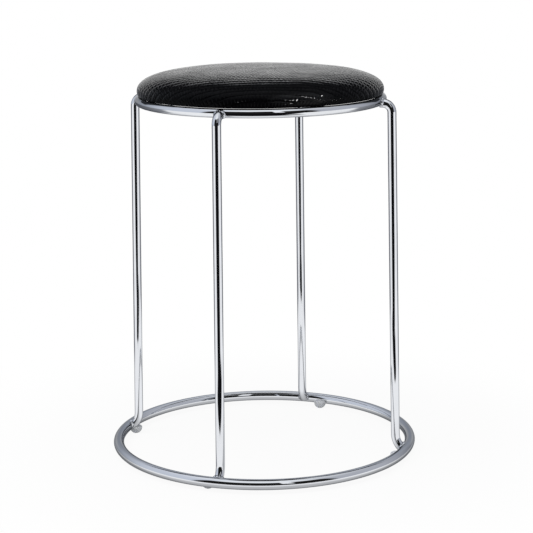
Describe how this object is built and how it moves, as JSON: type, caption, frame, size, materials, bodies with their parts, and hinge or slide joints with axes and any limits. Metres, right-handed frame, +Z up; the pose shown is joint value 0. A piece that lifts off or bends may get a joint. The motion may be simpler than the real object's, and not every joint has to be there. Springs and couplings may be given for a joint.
{
  "type": "round upholstered stool",
  "caption": "Low round stacking stool: a padded black vinyl seat on a chromed tube ring, slim bent legs welded to it, and a wider tube ring near the floor on small plastic glides.",
  "frame": {"origin": "on the stool's vertical axis, at the level of the floor under the glides", "axes": "+Z up along the stool's axis, front towards -Y, legs on the diagonals between the X and Y axes"},
  "size_m": [0.3552, 0.3552, 0.4455],
  "materials": {
    "chrome_tube": "bright chrome plate on bent steel tube",
    "weld_bead": "plated weld metal, slightly lumpy",
    "zinc_steel": "zinc plated",
    "glide_plastic": "translucent natural plastic, satin",
    "black_vinyl": "black embossed vinyl with a fine scale grain, semi-gloss",
    "foam": "open cell polyurethane foam",
    "plywood": "raw plywood",
    "dust_cloth": "black spun-bonded cloth"
  },
  "bodies": {
    "root": {"base_ring": "chrome_tube", "top_ring": "chrome_tube", "leg_rear_right": "chrome_tube", "top_weld_rear_right": "weld_bead", "foot_weld_rear_right": "weld_bead", "glide_rear_right": "glide_plastic", "leg_rear_left": "chrome_tube", "top_weld_rear_left": "weld_bead", "foot_weld_rear_left": "weld_bead", "glide_rear_left": "glide_plastic", "leg_front_left": "chrome_tube", "top_weld_front_left": "weld_bead", "foot_weld_front_left": "weld_bead", "glide_front_left": "glide_plastic", "leg_front_right": "chrome_tube", "top_weld_front_right": "weld_bead", "foot_weld_front_right": "weld_bead", "glide_front_right": "glide_plastic", "seat_tab_right": "zinc_steel", "tab_weld_right": "weld_bead", "seat_washer_right": "zinc_steel", "seat_screw_right": "zinc_steel", "seat_tab_rear": "zinc_steel", "tab_weld_rear": "weld_bead", "seat_washer_rear": "zinc_steel", "seat_screw_rear": "zinc_steel", "seat_tab_left": "zinc_steel", "tab_weld_left": "weld_bead", "seat_washer_left": "zinc_steel", "seat_screw_left": "zinc_steel", "seat_tab_front": "zinc_steel", "tab_weld_front": "weld_bead", "seat_washer_front": "zinc_steel", "seat_screw_front": "zinc_steel", "seat_board": "plywood", "seat_foam": "foam", "seat_cover": "black_vinyl", "dust_cover": "dust_cloth", "hem_staples": "zinc_steel", "dust_staples": "zinc_steel"}
  },
  "joints": []
}
